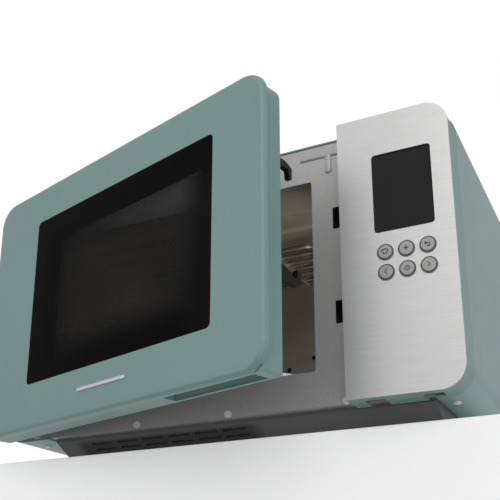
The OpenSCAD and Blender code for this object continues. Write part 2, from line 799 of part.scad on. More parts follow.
module screws() {
  color([0.70, 0.70, 0.70]) {
    for (x = screw_x) translate([x, y_plate - 1.6, screw_z]) {
      rod(3.4, 1.6);
      translate([0, 1.5, 0]) rod(screw_r, 6);
    }
    for (x = [xl + 34, xr - 22], y = [y_plate + 26, y_back - 30]) translate([x, y, wz0 - 1.6]) {
      cylinder(r = 3.4, h = 1.6);
    }
    for (x = [xl + 40, xr - 60]) translate([x, y_back, wz1 - 12]) rod(3.6, 1.8);
  }
}

/* Door, drawn closed and then turned by hung(). */

door_l = xl;
door_mid = door_l + door_w / 2;
win_l = door_l + window_x;
win_z = z0 + 45.5;
frame_y = y_door + glass_t;

module door_glass() {
  color([0.55, 0.65, 0.64]) hung() upright(y_door, glass_t)
    translate([door_l, z0]) rounded_rect(door_w, body_h, glass_r);
}

frame_in = 14;                      // frame bar around the window, inside the window's edge

frame_top_r = 16;                   // radius of the frame's upper corners
frame_top_drop = 3;                 // frame's upper edge below the edge of the glass

// Outline of the frame: upper corners hidden by the glass, lower corners nearly square.
module frame_outline(inset, low_r) {
  w = door_w - 2 * (door_side + inset);
  h = body_h - door_end - frame_top_drop - 2 * inset;
  top_r = max(frame_top_r - inset, low_r);
  translate([door_l + door_side + inset, z0 + door_end + inset]) {
    translate([low_r, 0]) square([w - 2 * low_r, h - top_r]);
    translate([top_r, top_r]) square([w - 2 * top_r, h - top_r]);
    translate([0, low_r]) square([w, h - low_r - top_r]);
    for (x = [low_r, w - low_r]) translate([x, low_r]) circle(low_r);
    for (x = [top_r, w - top_r]) translate([x, h - top_r]) circle(top_r);
  }
}

module hook_pockets() {
  for (z = [slot_low, slot_high])
    block(hook_x - 1, hook_x + hook_t + 1, frame_y + 2, y_plate, z - 6, z + slot_h + 6);
}

module arm_pocket(z) {
  block(door_l - 1, hinge_x + arm_r + 4, hinge_y - arm_r - 1, y_plate,
        z - arm_gap, z + arm_t + arm_gap);
}

bush_h = 8;
bush_r = hinge_pin_d / 2 + 1.2;
grip_l = door_l + door_w - 18 - grip_w;

// Trough under the free edge, with a steep front wall and a sloping rear wall.
module grip_trough() {
  front = frame_y + 3;
  rear = door_rear - 3;
  translate([grip_l, 0, 0]) rotate([90, 0, 90]) linear_extrude(grip_w) polygon([
    [front, z0 - 1], [front, z0 + grip_h], [front + 9, z0 + grip_h], [rear, z0 + 4], [rear, z0 - 1]
  ]);
}

module door_frame() {
  color([0.46, 0.56, 0.55]) hung() difference() {
    upright(frame_y, door_rear - frame_y) difference() {
      frame_outline(0, 3);
      translate([win_l - frame_in, win_z - frame_in])
        square([window_w + 2 * frame_in, window_h + 2 * frame_in]);
    }
    arm_pocket(arm_low);
    arm_pocket(arm_high);
    for (z = [arm_low - arm_gap - bush_h, arm_high + arm_t + arm_gap]) translate([hinge_x, hinge_y, z])
      cylinder(r = bush_r + 0.05, h = bush_h);
    grip_trough();
    hook_pockets();
  }
}

module door_screen() {
  pitch = 16;
  cols = floor((window_w - 20) / pitch);
  rows = floor((window_h - 16) / pitch);
  color([0.16, 0.14, 0.13]) hung() difference() {
    block(win_l - frame_in + fit, win_l + window_w + frame_in - fit, frame_y + 5, frame_y + 6,
          win_z - frame_in + fit, win_z + window_h + frame_in - fit);
    for (i = [0 : cols - 1], k = [0 : rows - 1])
      translate([win_l + 14 + i * pitch, frame_y + 4, win_z + 12 + k * pitch]) rod(3, 3, $fn = 16);
  }
}

module door_inner_glass() {
  color([0.55, 0.58, 0.58]) hung()
    block(win_l - frame_in + fit, win_l + window_w + frame_in - fit, frame_y + 7, frame_y + 9.5,
          win_z - frame_in + fit, win_z + window_h + frame_in - fit);
}

choke_side = 10;                    // inner cover is this much smaller than the frame

module door_choke_cover() {
  color([0.12, 0.12, 0.13]) hung() difference() {
    upright(door_rear, y_door_back - door_rear) difference() {
      frame_outline(choke_side, 8);
      translate([win_l + 2, win_z + 2]) square([window_w - 4, window_h - 4]);
    }
    arm_pocket(arm_low);
    arm_pocket(arm_high);
    hook_pockets();
  }
}

module door_hinge_bushes() {
  color([0.88, 0.87, 0.83]) hung()
    for (z = [arm_low - arm_gap - bush_h, arm_high + arm_t + arm_gap]) translate([hinge_x, hinge_y, z])
      difference() {
        cylinder(r = bush_r, h = bush_h);
        translate([0, 0, -1]) cylinder(r = hinge_pin_d / 2 + 0.1, h = bush_h + 2);
      }
}

// Hooks drawn in Y and Z about their pivots.
module lower_hook_shape() {
  tip = y_plate + lower_reach - hook_pivot_y;
  circle(4);
  polygon([[0, -4], [tip - 7, -4.6], [tip - 1.5, -3.2], [tip, 0], [tip, 10], [tip - 5, 10],
           [tip - 5.5, 2.6], [tip - 9, 1.6], [6, 12], [0, 4]]);
}

module upper_hook_shape() {
  tip = y_plate + upper_reach - hook_pivot_y;
  circle(4);
  polygon([[0, -4], [0, 4], [tip - 8, 3.4], [tip, -1], [tip, -11], [tip - 3.4, -11],
           [tip - 4.4, -3.4], [tip - 8, -3]]);
}

module hook(z) {
  translate([hook_x, hook_pivot_y, z]) rotate([90, 0, 90]) linear_extrude(hook_t) children();
}

module upper_hook() { color([0.07, 0.07, 0.07]) hung() hook(slot_high + 13) upper_hook_shape(); }
module lower_hook() { color([0.07, 0.07, 0.07]) hung() hook(slot_low + 6) lower_hook_shape(); }

module door_trim() {
  color([0.80, 0.80, 0.79]) hung()
    block(door_mid - 34, door_mid + 34, y_door - 0.8, y_door, z0 + 24, z0 + 27);
}

outer_wrap();
front_plate();
base_plate();
base_tray();
rubber_feet();
rear_panel();
rear_cover();
cavity_liner();
turntable_motor();
turntable_coupler();
roller_ring();
turntable_glass();
waveguide();
waveguide_cover();
magnetron_frame();
magnetron_fins();
magnetron_core();
transformer_core();
transformer_coils();
capacitor();
capacitor_strap();
diode();
fan_shroud();
fan_motor();
fan_blade();
oven_lamp();
thermal_cutouts();
grill_element();
grill_brackets();
convection_chamber();
convection_element();
convection_motor();
convection_blade();
filter_board();
cord_gland();
interlock_bracket();
interlock_switches();
control_housing();
control_plate();
display_window();
control_board();
button_rings();
button_menu();
button_plus();
button_back();
button_down();
button_power();
button_up();
hinge_brackets();
screws();
door_glass();
door_frame();
door_screen();
door_inner_glass();
door_choke_cover();
door_hinge_bushes();
upper_hook();
lower_hook();
door_trim();
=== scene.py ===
"""Looks of the countertop microwave oven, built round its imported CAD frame."""
import json
import math

import bmesh
import bpy
from mathutils import Matrix, Vector


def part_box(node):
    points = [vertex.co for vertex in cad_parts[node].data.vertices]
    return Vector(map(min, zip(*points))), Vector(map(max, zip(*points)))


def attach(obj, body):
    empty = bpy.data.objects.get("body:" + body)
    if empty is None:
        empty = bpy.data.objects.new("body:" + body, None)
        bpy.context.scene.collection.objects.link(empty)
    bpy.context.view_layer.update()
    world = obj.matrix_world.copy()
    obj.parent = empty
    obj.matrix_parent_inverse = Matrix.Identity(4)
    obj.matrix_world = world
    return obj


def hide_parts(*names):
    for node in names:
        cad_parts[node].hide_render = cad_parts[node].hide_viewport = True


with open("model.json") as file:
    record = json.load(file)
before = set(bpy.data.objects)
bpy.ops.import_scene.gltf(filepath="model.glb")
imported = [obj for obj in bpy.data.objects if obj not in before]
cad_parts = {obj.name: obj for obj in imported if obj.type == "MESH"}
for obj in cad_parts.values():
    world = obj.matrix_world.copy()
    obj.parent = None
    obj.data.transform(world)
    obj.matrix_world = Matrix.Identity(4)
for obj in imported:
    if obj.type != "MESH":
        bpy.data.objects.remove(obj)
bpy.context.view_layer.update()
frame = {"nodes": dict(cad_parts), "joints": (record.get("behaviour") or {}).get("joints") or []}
nodes = frame["nodes"]
MM = 0.001


# ---------------------------------------------------------------- places from the frame

def joint(name):
    return next(j for j in frame["joints"] if j["name"] == name)


hinge = joint("door_hinge")
HINGE = Vector(hinge["pos_m"])
AJAR = math.radians(-hinge["range_deg"][0])
OPENED = (Matrix.Translation(HINGE) @ Matrix.Rotation(-AJAR, 4, "Z")
          @ Matrix.Translation(-HINGE))
CLOSED = OPENED.inverted()


def closed_box(name):
    """Box of a door node as it would be with the door shut."""
    points = [CLOSED @ v.co for v in nodes[name].data.vertices]
    low = Vector(min(p[i] for p in points) for i in range(3))
    high = Vector(max(p[i] for p in points) for i in range(3))
    return low, high


plate_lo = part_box("control_plate")[0]
front_lo, front_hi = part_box("front_plate")
glass_lo, glass_hi = closed_box("door_glass")
door_hi = closed_box("door_frame")[1]
screen_lo, screen_hi = closed_box("door_screen")


# ---------------------------------------------------------------- camera, light and stage

def aim(obj, target):
    obj.rotation_mode = "QUATERNION"
    obj.rotation_quaternion = (target - obj.location).to_track_quat("-Z", "Y")


LENS = 61.6
SHIFT_UP = 0.2
EYE = Vector((0.2317, -0.651, -0.1746))     # from the control plate's lower left front corner
TURN, LIFT = math.radians(26.17), math.radians(17.63)


def make_camera():
    """A low camera right of the control panel, looking up and to the left at the oven."""
    data = bpy.data.cameras.new("camera")
    data.sensor_width = 36.0
    data.lens = LENS
    data.shift_y = SHIFT_UP
    data.clip_start, data.clip_end = 0.01, 50.0
    cam = bpy.data.objects.new("camera", data)
    bpy.context.scene.collection.objects.link(cam)
    cam.location = Vector(plate_lo) + EYE
    away = Vector((-math.sin(TURN) * math.cos(LIFT), math.cos(TURN) * math.cos(LIFT),
                   math.sin(LIFT)))
    aim(cam, cam.location + away)
    bpy.context.scene.camera = cam
    return cam


def area_light(name, place, target, size, power, colour=(1, 1, 1)):
    data = bpy.data.lights.new(name, "AREA")
    data.shape = "RECTANGLE"
    data.size, data.size_y = size
    data.energy = power
    data.color = colour
    obj = bpy.data.objects.new(name, data)
    obj.location = Vector(place)
    aim(obj, Vector(target))
    bpy.context.scene.collection.objects.link(obj)
    return obj


def make_world():
    """White surroundings that light the oven softly, less from below than from above."""
    world = bpy.data.worlds.new("studio")
    world.use_nodes = True
    tree = world.node_tree
    background = tree.nodes["Background"]
    coords = tree.nodes.new("ShaderNodeTexCoord")
    split = tree.nodes.new("ShaderNodeSeparateXYZ")
    tree.links.new(coords.outputs["Generated"], split.inputs[0])
    height = tree.nodes.new("ShaderNodeMapRange")
    height.interpolation_type = "SMOOTHSTEP"
    for socket, value in (("From Min", -0.7), ("From Max", 0.5), ("To Min", 0.22),
                          ("To Max", 0.62)):
        height.inputs[socket].default_value = value
    tree.links.new(split.outputs["Z"], height.inputs["Value"])
    path = tree.nodes.new("ShaderNodeLightPath")
    pick = tree.nodes.new("ShaderNodeMix")
    tree.links.new(path.outputs["Is Camera Ray"], pick.inputs["Factor"])
    tree.links.new(height.outputs["Result"], pick.inputs["A"])
    pick.inputs["B"].default_value = 1.0
    tree.links.new(pick.outputs["Result"], background.inputs["Strength"])
    background.inputs["Color"].default_value = (1, 1, 1, 1)
    bpy.context.scene.world = world


make_camera()
make_world()
area_light("key", (0.9, -2.0, 1.3), (0.1, 0, 0.15), (1.8, 1.8), 14)
area_light("fill", (-1.4, -1.8, 0.6), (-0.1, -0.2, 0.15), (1.6, 1.6), 5)
area_light("low", (0.9, -1.6, -0.5), (0.1, -0.1, 0.12), (1.4, 0.8), 5)
cavity_lo, cavity_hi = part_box("cavity_liner")
cavity_mid = (cavity_lo + cavity_hi) / 2
area_light("oven_light", (cavity_hi.x - 0.03, cavity_lo.y + 0.03, cavity_mid.z - 0.02),
           cavity_mid + Vector((-0.05, 0.05, 0.02)), (0.05, 0.12), 0.20, (1.0, 0.93, 0.84))
bpy.context.scene.view_settings.view_transform = "Standard"


# ---------------------------------------------------------------- material nodes

class Shader:
    """A principled material with short helpers for its procedural nodes."""

    def __init__(self, name, colour, metallic=0.0, roughness=0.5, **extra):
        self.mat = bpy.data.materials.new(name)
        self.mat.use_nodes = True
        self.tree = self.mat.node_tree
        self.bsdf = self.tree.nodes["Principled BSDF"]
        self.out = self.tree.nodes["Material Output"]
        self.set("Base Color", (*colour, 1.0))
        self.set("Metallic", metallic)
        self.set("Roughness", roughness)
        for key, value in extra.items():
            self.set(key.replace("_", " "), value)

    def set(self, socket, value):
        self.bsdf.inputs[socket].default_value = value

    def node(self, kind, **values):
        new = self.tree.nodes.new(kind)
        for key, value in values.items():
            setattr(new, key, value)
        return new

    def link(self, start, end):
        self.tree.links.new(start, end)

    def math(self, operation, a, b=0.0, c=0.0):
        new = self.node("ShaderNodeMath", operation=operation)
        for socket, value in zip(new.inputs, (a, b, c)):
            if isinstance(value, (int, float)):
                socket.default_value = value
            else:
                self.link(value, socket)
        return new.outputs[0]

    def place(self, scale=(1, 1, 1), uv=False):
        coords = self.node("ShaderNodeTexCoord")
        mapping = self.node("ShaderNodeMapping")
        mapping.inputs["Scale"].default_value = scale
        self.link(coords.outputs["UV" if uv else "Object"], mapping.inputs["Vector"])
        return mapping.outputs["Vector"]

    def noise(self, scale, detail=4.0, stretch=(1, 1, 1), rough=0.5):
        new = self.node("ShaderNodeTexNoise")
        new.inputs["Scale"].default_value = scale
        new.inputs["Detail"].default_value = detail
        new.inputs["Roughness"].default_value = rough
        self.link(self.place(stretch), new.inputs["Vector"])
        return new.outputs["Fac"]

    def ramp(self, value, stops):
        new = self.node("ShaderNodeValToRGB")
        marks = new.color_ramp.elements
        for k, (at, colour) in enumerate(stops):
            mark = marks[k] if k < 2 else marks.new(at)
            mark.position = at
            mark.color = (*colour, 1.0)
        self.link(value, new.inputs["Fac"])
        return new.outputs["Color"]

    def spread(self, value, low, high):
        new = self.node("ShaderNodeMapRange")
        new.inputs["To Min"].default_value = low
        new.inputs["To Max"].default_value = high
        self.link(value, new.inputs["Value"])
        return new.outputs["Result"]

    def colour_from(self, value, low, high):
        self.link(self.ramp(value, [(0.3, low), (0.7, high)]), self.bsdf.inputs["Base Color"])

    def rough_from(self, value, low, high):
        self.link(self.spread(value, low, high), self.bsdf.inputs["Roughness"])

    def bump(self, height, strength=0.2, distance=0.0002):
        new = self.node("ShaderNodeBump")
        new.inputs["Strength"].default_value = strength
        new.inputs["Distance"].default_value = distance
        self.link(height, new.inputs["Height"])
        self.link(new.outputs["Normal"], self.bsdf.inputs["Normal"])


def shade(colour, factor):
    return tuple(min(1.0, c * factor) for c in colour)


def painted(name, colour, roughness=0.34):
    """Sprayed enamel with faint orange peel under a thin clear coat."""
    s = Shader(name, colour, roughness=roughness, Coat_Weight=0.15, Coat_Roughness=0.3,
               Specular_IOR_Level=0.35)
    s.colour_from(s.noise(9.0, 3.0), shade(colour, 0.97), shade(colour, 1.03))
    s.rough_from(s.noise(60.0, 4.0), roughness * 0.9, roughness * 1.15)
    return s.mat


def sheet_steel(name, colour, roughness=0.4, grain=(1, 60, 60), scale=40.0, depth=0.1,
                metallic=1.0):
    """Rolled or brushed steel, with its grain along the first axis of the stretch."""
    s = Shader(name, colour, metallic=metallic, roughness=roughness)
    lines = s.noise(scale, 6.0, grain, 0.7)
    s.colour_from(lines, shade(colour, 0.88), shade(colour, 1.08))
    s.rough_from(lines, roughness * 0.8, roughness * 1.2)
    s.bump(lines, depth, 0.00005)
    return s.mat


def moulded(name, colour, roughness=0.5, grain=1400.0, depth=0.25, sheen=0.5):
    """Moulded plastic with a fine spark-eroded grain."""
    s = Shader(name, colour, roughness=roughness, Specular_IOR_Level=sheen)
    s.colour_from(s.noise(30.0, 4.0), shade(colour, 0.92), shade(colour, 1.08))
    s.rough_from(s.noise(120.0, 3.0), roughness * 0.88, roughness * 1.1)
    s.bump(s.noise(grain, 3.0), depth, 0.00008)
    return s.mat


TEAL = (0.180, 0.305, 0.297)
GALVANISED = (0.56, 0.58, 0.60)

paint = painted("teal_paint", TEAL)
door_paint = painted("teal_door_paint", TEAL, 0.42)
plate_steel = sheet_steel("front_plate_steel", (0.50, 0.50, 0.49), 0.5, (60, 60, 60), 9.0, 0.15,
                          0.55)
cavity_steel = sheet_steel("cavity_steel", (0.50, 0.46, 0.42), 0.3, (1, 40, 40), 20.0, 0.1, 0.8)
brushed = sheet_steel("brushed_panel_steel", (0.74, 0.74, 0.735), 0.36, (3, 120, 220), 9.0, 0.3,
                      0.85)
galvanised = sheet_steel("galvanised_steel", GALVANISED, 0.42, (30, 30, 30), 3.0)


# Bounds of the painted shade that darkens the tray's colour over its vented stretch.
TRAY_LEFT = (0.018, 0.030)      # where the vented stretch fades in, from the tray's left end
TRAY_RIGHT = (0.235, 0.215)     # where it fades out again
TRAY_LOW = (0.0125, 0.0095)     # and the same upward, from the tray's underside


def tray_plastic():
    """Dark plastic with painted shade: its colour turns much darker over the vented stretch at the
    front.
    """
    s = Shader("dark_tray_plastic", (0.085, 0.086, 0.088), roughness=0.45)
    at = s.node("ShaderNodeSeparateXYZ")
    s.link(s.place(), at.inputs[0])

    def step(value, low, high):
        new = s.node("ShaderNodeMapRange", interpolation_type="SMOOTHSTEP")
        new.inputs["From Min"].default_value = low
        new.inputs["From Max"].default_value = high
        s.link(value, new.inputs["Value"])
        return new.outputs["Result"]

    tray_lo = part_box("base_tray")[0]
    left = step(at.outputs["X"], *(tray_lo.x + at_x for at_x in TRAY_LEFT))
    right = step(at.outputs["X"], *(tray_lo.x + at_x for at_x in TRAY_RIGHT))
    low = step(at.outputs["Z"], *(tray_lo.z + at_z for at_z in TRAY_LOW))
    painted_vent_shade = s.math("MULTIPLY", s.math("MULTIPLY", left, right), low)
    # Painted shade: the base colour goes from the tray's grey to near black over the vented
    # stretch.
    s.link(s.ramp(painted_vent_shade, [(0.0, (0.10, 0.10, 0.102)), (1.0, (0.022, 0.022, 0.023))]),
           s.bsdf.inputs["Base Color"])
    s.rough_from(s.noise(120.0, 3.0), 0.4, 0.5)
    return s.mat


tray_with_painted_shade = tray_plastic()
dark_plastic = moulded("dark_tray_plastic", (0.085, 0.088, 0.092), 0.5)
black_plastic = moulded("black_nylon", (0.006, 0.006, 0.0065), 0.4, sheen=0.2)
rubber = moulded("foot_rubber", (0.02, 0.02, 0.02), 0.8, 700.0)
pale_plastic = moulded("pale_plastic", (0.70, 0.68, 0.62), 0.45)
ceramic = moulded("ceramic_sheet", (0.74, 0.70, 0.62), 0.7, 500.0)
copper = sheet_steel("copper_winding", (0.70, 0.33, 0.17), 0.35, (1, 1, 400), 6.0, 0.6)
aluminium = sheet_steel("aluminium", (0.78, 0.79, 0.80), 0.3, (60, 1, 60), 12.0)
core_steel = sheet_steel("laminated_core", (0.20, 0.20, 0.21), 0.55, (1, 300, 1), 20.0, 0.6)
element_steel = sheet_steel("element_sheath", (0.17, 0.155, 0.14), 0.5, (20, 20, 20), 10.0)
board_green = moulded("circuit_board", (0.03, 0.13, 0.06), 0.4, 300.0)
key_grey = moulded("key_grey", (0.42, 0.42, 0.41), 0.42, 1200.0, 0.15)
ring_grey = moulded("ring_grey", (0.085, 0.087, 0.09), 0.35, 1200.0, 0.15)
screw_metal = sheet_steel("plated_screws", (0.82, 0.82, 0.81), 0.5, (20, 20, 20), 12.0, 0.1, 0.3)
trim_metal = sheet_steel("trim_metal", (0.80, 0.80, 0.79), 0.22, (1, 80, 80), 20.0)


def see_through(name, tint, gloss, clear):
    """Thin pane: part clear, part glossy."""
    s = Shader(name, tint, roughness=gloss, Coat_Weight=1.0, Coat_Roughness=0.03)
    smear = s.noise(25.0, 5.0)
    s.link(s.spread(smear, clear * 0.92, clear), s.bsdf.inputs["Alpha"])
    s.rough_from(smear, gloss, gloss + 0.03)
    return s.mat


clear_glass = see_through("clear_glass", (0.55, 0.62, 0.61), 0.04, 0.16)
lamp_glass = see_through("lamp_glass", (0.95, 0.90, 0.75), 0.2, 0.7)


NODE_LOOKS = {
    paint: ["outer_wrap"],
    door_paint: ["control_housing", "door_frame"],
    plate_steel: ["front_plate"],
    cavity_steel: ["cavity_liner", "grill_brackets"],
    brushed: ["control_plate"],
    galvanised: ["base_plate", "rear_panel", "rear_cover", "turntable_motor", "waveguide",
                 "magnetron_frame", "capacitor_strap", "convection_chamber", "hinge_brackets"],
    tray_with_painted_shade: ["base_tray"],
    dark_plastic: ["interlock_bracket", "door_choke_cover"],
    black_plastic: ["roller_ring", "diode", "interlock_switches", "cord_gland", "upper_hook",
                    "lower_hook"],
    rubber: ["rubber_feet"],
    pale_plastic: ["turntable_coupler", "fan_shroud", "fan_blade", "door_hinge_bushes"],
    ceramic: ["waveguide_cover", "thermal_cutouts"],
    copper: ["transformer_coils", "magnetron_core"],
    aluminium: ["magnetron_fins", "capacitor", "convection_blade"],
    core_steel: ["transformer_core", "fan_motor", "convection_motor"],
    element_steel: ["grill_element", "convection_element"],
    board_green: ["filter_board", "control_board"],
    ring_grey: ["button_rings"],
    key_grey: ["button_menu", "button_plus", "button_back", "button_down", "button_power",
               "button_up"],
    clear_glass: ["turntable_glass", "door_inner_glass"],
    lamp_glass: ["oven_lamp"],
    trim_metal: ["door_trim"],
    screw_metal: ["screws"],
}


def dress(name, material):
    data = nodes[name].data
    if not data.materials:
        data.materials.append(material)
    for k in range(len(data.materials)):
        data.materials[k] = material


for material, names in NODE_LOOKS.items():
    for name in names:
        dress(name, material)

bevels = {"outer_wrap": 0.5, "control_plate": 0.8, "control_housing": 0.6, "front_plate": 0.3,
          "door_frame": 0.8, "base_tray": 1.6, "upper_hook": 0.4, "lower_hook": 0.4,
          "door_trim": 0.3, "rear_cover": 0.3}


def soften(name, width):
    """A narrow rounded edge, as bent or moulded edges have."""
    bevel = nodes[name].modifiers.new("edge", "BEVEL")
    bevel.width = width * MM
    bevel.segments = 2
    bevel.limit_method = "ANGLE"
    bevel.angle_limit = math.radians(40)
    bevel.harden_normals = True


for name, width in bevels.items():
    soften(name, width)


# ---------------------------------------------------------------- mesh helpers

def rounded_outline(low, high, radius, steps=10):
    """Points of a rounded rectangle in X and Z, anticlockwise from the lower right."""
    points = []
    corners = [(high[0] - radius, low[1] + radius, -90), (high[0] - radius, high[1] - radius, 0),
               (low[0] + radius, high[1] - radius, 90), (low[0] + radius, low[1] + radius, 180)]
    for cx, cz, start in corners:
        for k in range(steps + 1):
            a = math.radians(start + 90 * k / steps)
            points.append((cx + radius * math.cos(a), cz + radius * math.sin(a)))
    return points


def finish_mesh(name, bm, materials, body, smooth=40):
    bmesh.ops.recalc_face_normals(bm, faces=bm.faces)
    data = bpy.data.meshes.new(name)
    bm.to_mesh(data)
    bm.free()
    for material in materials:
        data.materials.append(material)
    for face in data.polygons:
        face.use_smooth = True
    obj = bpy.data.objects.new(name, data)
    bpy.context.scene.collection.objects.link(obj)
    data.set_sharp_from_angle(angle=math.radians(smooth))
    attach(obj, body)
    return obj


def loft(bm, rings, close_first=True, close_last=True, index=0):
    """Skins a row of equal rings of points."""
    made = [[bm.verts.new(p) for p in ring] for ring in rings]
    count = len(made[0])
    for a, b in zip(made, made[1:]):
        for k in range(count):
            face = bm.faces.new((a[k], a[(k + 1) % count], b[(k + 1) % count], b[k]))
            face.material_index = index
    for wanted, ring in ((close_first, made[0]), (close_last, made[-1])):
        if wanted:
            bm.faces.new(ring).material_index = index
    return made


# ---------------------------------------------------------------- floor

def make_floor():
    """A pale shelf whose front edge lies just ahead of the base tray, below the open door."""
    bm = bmesh.new()
    edge = front_lo.y - 8 * MM
    profile = [(edge, -1.2), (edge, -0.001), (edge + 0.001, 0.0), (edge + 2.6, 0.0)]
    rows = [[bm.verts.new((x, y, z)) for y, z in profile] for x in (-2.6, 2.6)]
    for k in range(len(profile) - 1):
        bm.faces.new((rows[0][k], rows[1][k], rows[1][k + 1], rows[0][k + 1]))
    data = bpy.data.meshes.new("floor")
    bm.to_mesh(data)
    bm.free()
    s = Shader("pale_floor", (0.86, 0.86, 0.86), roughness=0.7)
    s.colour_from(s.noise(3.0), (0.84, 0.84, 0.84), (0.88, 0.88, 0.88))
    s.set("Emission Color", (1.0, 1.0, 1.0, 1.0))
    s.set("Emission Strength", 0.22)
    data.materials.append(s.mat)
    floor = bpy.data.objects.new("floor", data)
    bpy.context.scene.collection.objects.link(floor)


make_floor()


# ---------------------------------------------------------------- door glass

SCREEN_LAP = 13.7 * MM
win_lo = (screen_lo.x + SCREEN_LAP, screen_lo.z + SCREEN_LAP)
win_hi = (screen_hi.x - SCREEN_LAP, screen_hi.z - SCREEN_LAP)
WINDOW = (win_hi[0] - win_lo[0], win_hi[1] - win_lo[1])


def glass_paint():
    """Enamel fired on the back of the glass: deep colour under a clear, hard face."""
    s = Shader("door_glass_enamel", TEAL, roughness=0.4, Coat_Weight=0.4, Coat_Roughness=0.3,
               Specular_IOR_Level=0.35)
    s.colour_from(s.noise(5.0, 2.0), shade(TEAL, 0.98), shade(TEAL, 1.03))
    s.rough_from(s.noise(40.0, 3.0), 0.38, 0.44)
    return s.mat


def window_glass():
    """Black printed border that fades into a clear, dark middle."""
    s = Shader("door_window_glass", (0.0012, 0.0012, 0.0014), roughness=0.1,
               Specular_IOR_Level=0.03)
    uv = s.node("ShaderNodeSeparateXYZ")
    s.link(s.place(uv=True), uv.inputs[0])
    across = s.math("MINIMUM", uv.outputs["X"], s.math("SUBTRACT", 1.0, uv.outputs["X"]))
    up = s.math("MINIMUM", uv.outputs["Y"], s.math("SUBTRACT", 1.0, uv.outputs["Y"]))
    across = s.math("MULTIPLY", across, WINDOW[0])
    up = s.math("MULTIPLY", up, WINDOW[1])
    edge = s.math("MINIMUM", across, up)
    edge = s.math("ADD", edge, s.math("MULTIPLY", s.noise(8.0, 1.0), 0.004))
    fade = s.node("ShaderNodeMapRange", interpolation_type="SMOOTHSTEP")
    fade.inputs["From Min"].default_value = 0.012
    fade.inputs["From Max"].default_value = 0.050
    fade.inputs["To Min"].default_value = 1.0
    fade.inputs["To Max"].default_value = 0.62
    s.link(edge, fade.inputs["Value"])
    s.link(fade.outputs["Result"], s.bsdf.inputs["Alpha"])
    return s.mat


def make_door_glass():
    """The front glass: a slab with a softly rolled edge and a flush window."""
    roll, depth = 4.5 * MM, 5.6 * MM
    back, front = glass_hi.y, glass_lo.y
    low, high = (glass_lo.x, glass_lo.z), (glass_hi.x, glass_hi.z)
    outer_r = 24 * MM

    def ring(inset, y, radius):
        pts = rounded_outline((low[0] + inset, low[1] + inset), (high[0] - inset, high[1] - inset),
                              radius)
        return [(x, y, z) for x, z in pts]

    rings = [ring(2 * MM, back, outer_r - 2 * MM), ring(0.4 * MM, back, outer_r - 0.4 * MM),
             ring(0, back - 0.3 * MM, outer_r)]
    turns = 9
    for k in range(turns + 1):
        a = math.pi / 2 * k / turns
        inset = roll * (1 - math.cos(a))
        rings.append(ring(inset, front + depth * (1 - math.sin(a)), outer_r - inset))
    blend = [(0.25, 0.25), (0.6, 0.6), (1.0, 1.0)]
    edge = rings[-1]
    window = [(x, front, z) for x, z in rounded_outline(win_lo, win_hi, 5 * MM)]
    for t, _ in blend[:-1]:
        rings.append([tuple(a + (b - a) * t for a, b in zip(p, q)) for p, q in zip(edge, window)])
    rings.append(window)
    bm = bmesh.new()
    made = loft(bm, rings, True, False)
    uv_layer = bm.loops.layers.uv.new("UVMap")
    pane = bm.faces.new(made[-1])
    pane.material_index = 1
    for face in bm.faces:
        for loop in face.loops:
            p = loop.vert.co
            loop[uv_layer].uv = ((p.x - win_lo[0]) / WINDOW[0], (p.z - win_lo[1]) / WINDOW[1])
    backs = [f for f in bm.faces if len(f.verts) > 10 and f is not pane]
    bmesh.ops.delete(bm, geom=backs, context="FACES")
    bm.transform(OPENED)
    obj = finish_mesh("door_front_glass", bm, [glass_paint(), window_glass()], "door")
    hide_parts("door_glass")
    return obj


make_door_glass()


# ---------------------------------------------------------------- door screen

HOLE_RATIO = 0.29


def screen_material():
    """Black enamelled sheet with a close hexagonal perforation."""
    s = Shader("perforated_screen", (0.030, 0.028, 0.025), roughness=0.5)
    pitch = 2.4 * MM
    row = pitch * math.sqrt(3)
    uv = s.node("ShaderNodeSeparateXYZ")
    s.link(s.place(uv=True), uv.inputs[0])
    u = s.math("DIVIDE", uv.outputs["X"], pitch)
    v = s.math("DIVIDE", uv.outputs["Y"], row)

    def hole(offset):
        a = s.math("SUBTRACT", s.math("FRACT", s.math("ADD", u, offset)), 0.5)
        b = s.math("SUBTRACT", s.math("FRACT", s.math("ADD", v, offset)), 0.5)
        b = s.math("MULTIPLY", b, math.sqrt(3))
        return s.math("ADD", s.math("MULTIPLY", a, a), s.math("MULTIPLY", b, b))

    nearest = s.math("MINIMUM", hole(0.0), hole(0.5))
    solid = s.math("GREATER_THAN", nearest, HOLE_RATIO ** 2)
    s.link(solid, s.bsdf.inputs["Alpha"])
    s.rough_from(s.noise(90.0), 0.4, 0.5)
    return s.mat


def make_screen():
    bm = bmesh.new()
    y = (screen_lo.y + screen_hi.y) / 2
    xs = [screen_lo.x + (screen_hi.x - screen_lo.x) * k / 12 for k in range(13)]
    zs = [screen_lo.z + (screen_hi.z - screen_lo.z) * k / 8 for k in range(9)]
    grid = [[bm.verts.new((x, y, z)) for z in zs] for x in xs]
    uv_layer = bm.loops.layers.uv.new("UVMap")
    for i in range(12):
        for k in range(8):
            bm.faces.new((grid[i][k], grid[i + 1][k], grid[i + 1][k + 1], grid[i][k + 1]))
    for face in bm.faces:
        for loop in face.loops:
            loop[uv_layer].uv = (loop.vert.co.x, loop.vert.co.z)
    bm.transform(OPENED)
    obj = finish_mesh("door_perforated_screen", bm, [screen_material()], "door")
    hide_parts("door_screen")


make_screen()


# ---------------------------------------------------------------- pressed rib of the front plate

